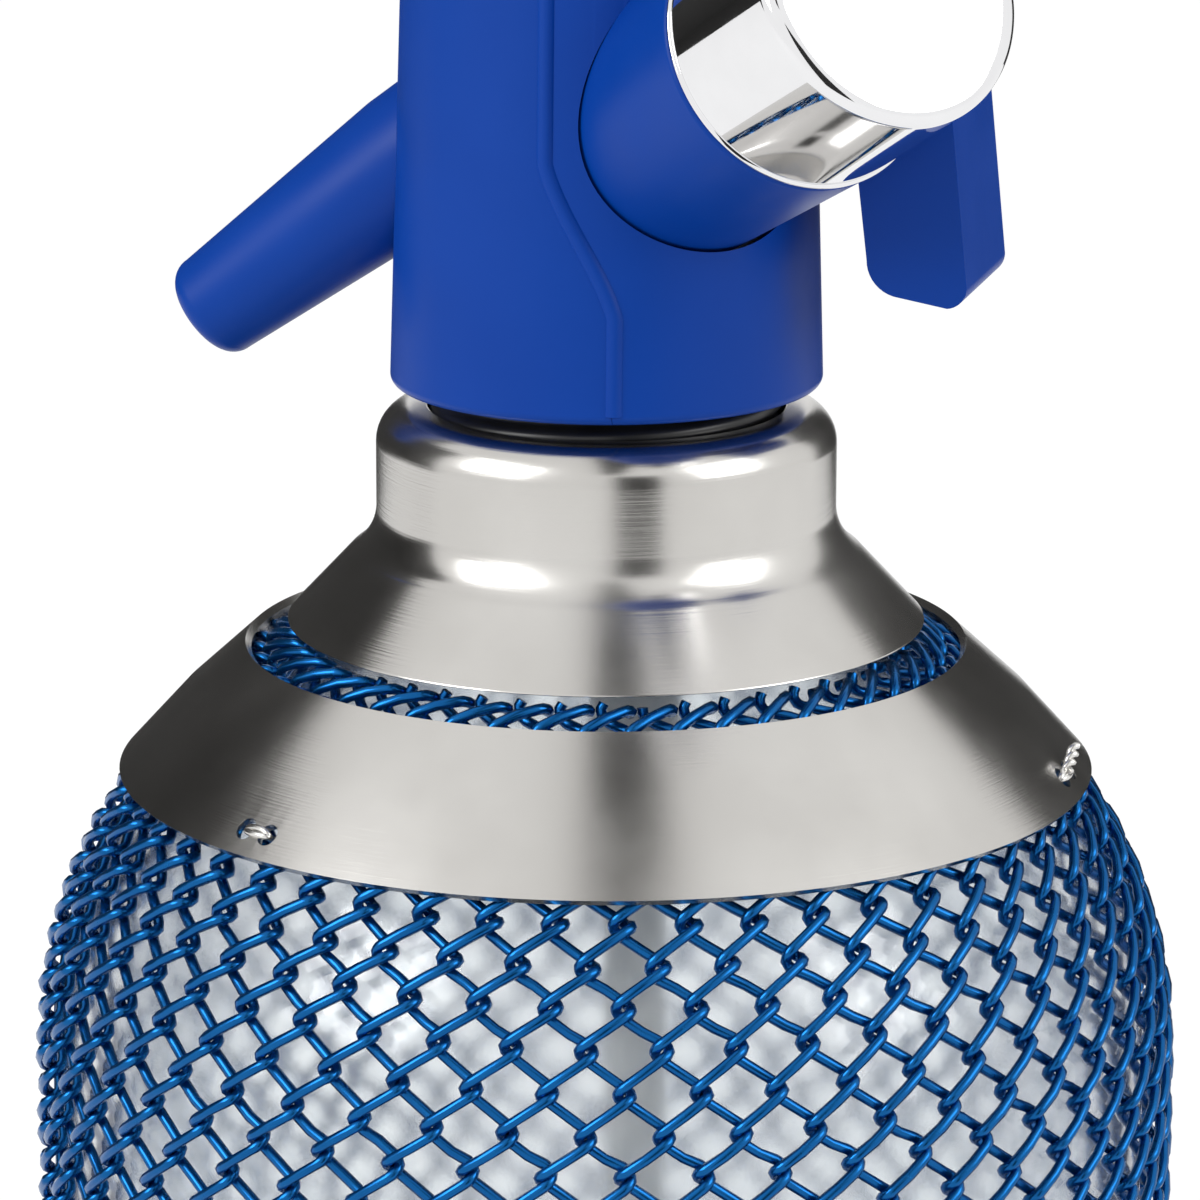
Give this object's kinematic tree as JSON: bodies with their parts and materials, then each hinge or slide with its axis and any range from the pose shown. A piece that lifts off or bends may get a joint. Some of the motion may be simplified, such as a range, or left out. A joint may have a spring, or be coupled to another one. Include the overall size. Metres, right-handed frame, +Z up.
{
  "type": "soda siphon",
  "caption": "Free-standing soda siphon: glass bottle in a blue wire-mesh sleeve, screw-on blue head with slanting spout, rear squeeze lever and chrome gas-capsule holder",
  "frame": {"origin": "centre of the round base, on the surface it stands on", "axes": "+Z up along the bottle's axis; the spout points to -X and the lever hangs at +X; the capsule holder rises towards +X and -Y"},
  "size_m": [0.1106, 0.1106, 0.305],
  "materials": {
    "rubber": "matt black rubber",
    "glass": "clear thick glass",
    "blue_wire": "blue anodised aluminium wire",
    "brushed_steel": "brushed stainless sheet",
    "steel_wire": "bright twisted steel wire",
    "black_plastic": "black moulded plastic",
    "blue_plastic": "satin blue plastic",
    "aluminium": "machined aluminium",
    "brass": "turned brass",
    "chrome": "polished chrome plate",
    "spring_steel": "drawn spring wire",
    "white_plastic": "translucent white plastic",
    "capsule_steel": "zinc-plated pressed steel"
  },
  "bodies": {
    "bottle": {"foot_pad": "rubber", "glass_bottle": "glass", "mesh_sleeve": "blue_wire", "base_ring": "brushed_steel", "base_ties": "steel_wire", "shoulder_ring": "brushed_steel", "shoulder_ties": "steel_wire", "neck_collar": "brushed_steel", "split_ring_front": "black_plastic", "split_ring_rear": "black_plastic"},
    "head_seal": {"head_gasket": "rubber"},
    "head": {"threaded_stub": "black_plastic", "head_shell_front": "blue_plastic", "head_shell_rear": "blue_plastic", "valve_block": "aluminium", "charger_boss": "blue_plastic", "holder_thread_sleeve": "brass", "piercing_pin": "brass", "charger_seal": "rubber", "gas_check_valve": "rubber", "passage_plug": "brass", "shell_screws": "spring_steel", "spout": "blue_plastic", "riser_tube": "white_plastic", "measuring_tube": "white_plastic", "riser_strainer": "white_plastic", "valve_seat": "brass", "valve_spring": "spring_steel", "stem_gland": "brass", "stem_seal": "rubber", "lever_bracket": "aluminium", "lever_pin": "spring_steel"},
    "lever": {"lever": "blue_plastic"},
    "valve": {"valve_stem": "brass", "valve_washer": "rubber"},
    "charger": {"co2_charger": "capsule_steel"},
    "charger_holder": {"charger_holder": "chrome", "holder_cushion": "rubber"}
  },
  "joints": [
    {"name": "head_rise", "type": "slide", "parent": "bottle", "child": "head_seal", "axis": [0, 0, 1], "range_m": [0, 0.0099]},
    {"name": "head_turn", "type": "hinge", "parent": "head_seal", "child": "head", "pos_m": [0, 0, 0.2265], "axis": [0, 0, 1], "range_deg": [0, 1200]},
    {"name": "lever_press", "type": "hinge", "parent": "head", "child": "lever", "pos_m": [-0.012, 0, 0.291], "axis": [0, 1, 0], "range_deg": [0, 6.5], "stiffness_Nm_per_rad": 1.5, "springref_deg": -2.86},
    {"name": "valve_press", "type": "slide", "parent": "head", "child": "valve", "axis": [0, 0, -1], "range_m": [0, 0.0014], "deforming": ["valve_spring"]},
    {"name": "holder_travel", "type": "slide", "parent": "head", "child": "charger", "axis": [0.6481, -0.6044, 0.4633], "range_m": [0, 0.009]},
    {"name": "holder_turn", "type": "hinge", "parent": "charger", "child": "charger_holder", "pos_m": [0.0232, -0.02164, 0.26249], "axis": [0.6481, -0.6044, 0.4633], "range_deg": [0, 2180]}
  ],
  "couplings": [
    {"joint": "head_turn", "follows": "head_rise", "rad_per_m": 2094.4},
    {"joint": "valve_press", "follows": "lever_press", "m_per_rad": 0.012},
    {"joint": "holder_turn", "follows": "holder_travel", "rad_per_m": 4188.8}
  ]
}
